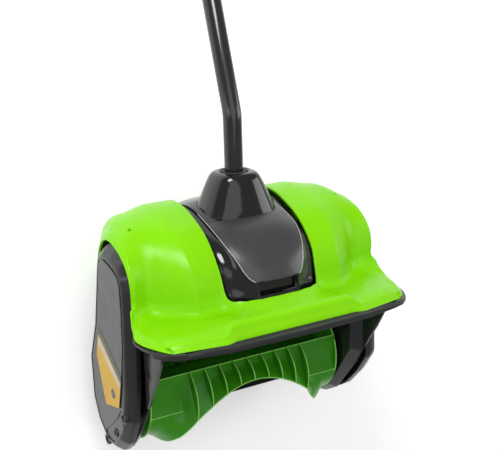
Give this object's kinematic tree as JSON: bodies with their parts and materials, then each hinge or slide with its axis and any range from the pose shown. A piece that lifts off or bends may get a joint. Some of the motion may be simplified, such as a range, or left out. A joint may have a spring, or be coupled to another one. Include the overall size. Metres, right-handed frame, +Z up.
{
  "type": "cordless snow shovel",
  "caption": "Battery snow shovel: ribbed paddle rotor in a wide green head, belt drive, bent tube, loop assist handle and trigger handle with slide-in battery.",
  "frame": {"origin": "centre of the bounding box in plan, at its underside: the surface that the tool lies on", "axes": "+X to the operator's right along the rotor axis, +Y from the head to the rear handle, +Z up as the tool lies on its back"},
  "size_m": [0.386, 1.2448, 0.3321],
  "materials": {
    "green_shell": "semi-gloss moulded",
    "gloss_black": "high gloss moulded",
    "satin_black": "fine textured moulded",
    "side_black": "satin moulded",
    "panel_grey": "satin film",
    "label_yellow": "printed film, no text",
    "rotor_green": "semi-gloss moulded",
    "tube_black": "gloss powder coat",
    "seal_rubber": "matte",
    "grip_rubber": "matte textured",
    "steel": "machined",
    "zinc": "zinc plated",
    "alloy": "cast",
    "copper_board": "lacquered circuit board",
    "brass": "plain",
    "cell_wrap": "shrink wrap",
    "belt_rubber": "matte",
    "cable_black": "matte"
  },
  "bodies": {
    "frame": {"top_cover": "green_shell", "top_cover_screws": "zinc", "motor_cover": "gloss_black", "tube_seal": "seal_rubber", "lower_housing": "satin_black", "rear_cover": "satin_black", "side_plate_left": "side_black", "side_plate_right": "side_black", "belt_cover": "side_black", "side_cover_right": "side_black", "side_panel": "panel_grey", "label_plate": "label_yellow", "side_screws_left": "zinc", "side_screws_right": "zinc", "scraper_blade": "satin_black", "scraper_screws": "zinc", "rotor_bearing_left": "steel", "rotor_bearing_right": "steel", "drive_belt": "belt_rubber", "motor_can": "zinc", "motor_mount": "alloy", "control_board": "copper_board", "tube_socket": "satin_black", "socket_bolts": "zinc", "lower_tube": "tube_black", "upper_tube": "tube_black", "tube_coupler": "satin_black", "rear_handle_left": "satin_black", "rear_handle_right": "satin_black", "handle_screws": "zinc", "trigger_pivot": "steel", "trigger_spring": "steel", "trigger_switch": "satin_black", "battery_dock": "satin_black", "dock_terminals": "brass", "power_cable": "cable_black"},
    "rotor": {"rotor": "rotor_green", "rotor_axle": "steel", "rotor_pulley": "satin_black", "axle_nut": "zinc"},
    "motor_spindle": {"motor_shaft": "steel", "motor_armature": "steel", "motor_fan": "satin_black", "motor_pulley": "alloy"},
    "trigger": {"trigger": "green_shell"},
    "lock_off": {"lock_off_button": "green_shell"},
    "battery": {"battery_case": "satin_black", "battery_cells": "cell_wrap"},
    "battery_latch": {"battery_latch": "green_shell"},
    "coupler_knob": {"coupler_knob": "satin_black"},
    "assist_clamp": {"assist_clamp": "satin_black"},
    "assist_handle": {"assist_handle": "satin_black", "assist_grip": "grip_rubber", "assist_bolt": "zinc"},
    "assist_knob": {"assist_knob": "satin_black"}
  },
  "joints": [
    {"name": "rotor_spin", "type": "hinge", "parent": "frame", "child": "rotor", "pos_m": [0, -0.54091, 0.1025], "axis": [1, 0, 0], "continuous": true},
    {"name": "motor_spin", "type": "hinge", "parent": "frame", "child": "motor_spindle", "pos_m": [0, -0.38665, 0.15448], "axis": [1, 0, 0], "continuous": true},
    {"name": "trigger_pull", "type": "hinge", "parent": "frame", "child": "trigger", "pos_m": [0, 0.41227, 0.08593], "axis": [1, 0, 0], "range_deg": [0, 10], "stiffness_Nm_per_rad": 0.6, "springref_deg": -11.46},
    {"name": "lock_off_press", "type": "slide", "parent": "frame", "child": "lock_off", "axis": [0, -0.1736, -0.9848], "range_m": [0, 0.003], "stiffness_N_per_m": 300, "springref_m": -0.003},
    {"name": "battery_slide", "type": "slide", "parent": "frame", "child": "battery", "axis": [0, 0.1736, 0.9848], "range_m": [0, 0.1]},
    {"name": "battery_latch_press", "type": "slide", "parent": "battery", "child": "battery_latch", "axis": [0, -0.1736, -0.9848], "range_m": [0, 0.004], "stiffness_N_per_m": 400, "springref_m": -0.003},
    {"name": "coupler_knob_turn", "type": "hinge", "parent": "frame", "child": "coupler_knob", "pos_m": [0, 0.10289, 0.18567], "axis": [1, 0, 0], "range_deg": [0, 720]},
    {"name": "assist_slide", "type": "slide", "parent": "frame", "child": "assist_clamp", "axis": [0, 0.9848, -0.1736], "range_m": [-0.05, 0.08]},
    {"name": "assist_tilt", "type": "hinge", "parent": "assist_clamp", "child": "assist_handle", "pos_m": [0, 0.2195, 0.15597], "axis": [1, 0, 0], "range_deg": [-25, 25]},
    {"name": "assist_knob_turn", "type": "hinge", "parent": "assist_handle", "child": "assist_knob", "pos_m": [0, 0.2195, 0.15597], "axis": [1, 0, 0], "range_deg": [0, 720]}
  ],
  "couplings": [
    {"joint": "motor_spin", "follows": "rotor_spin", "ratio": 2.7391}
  ]
}
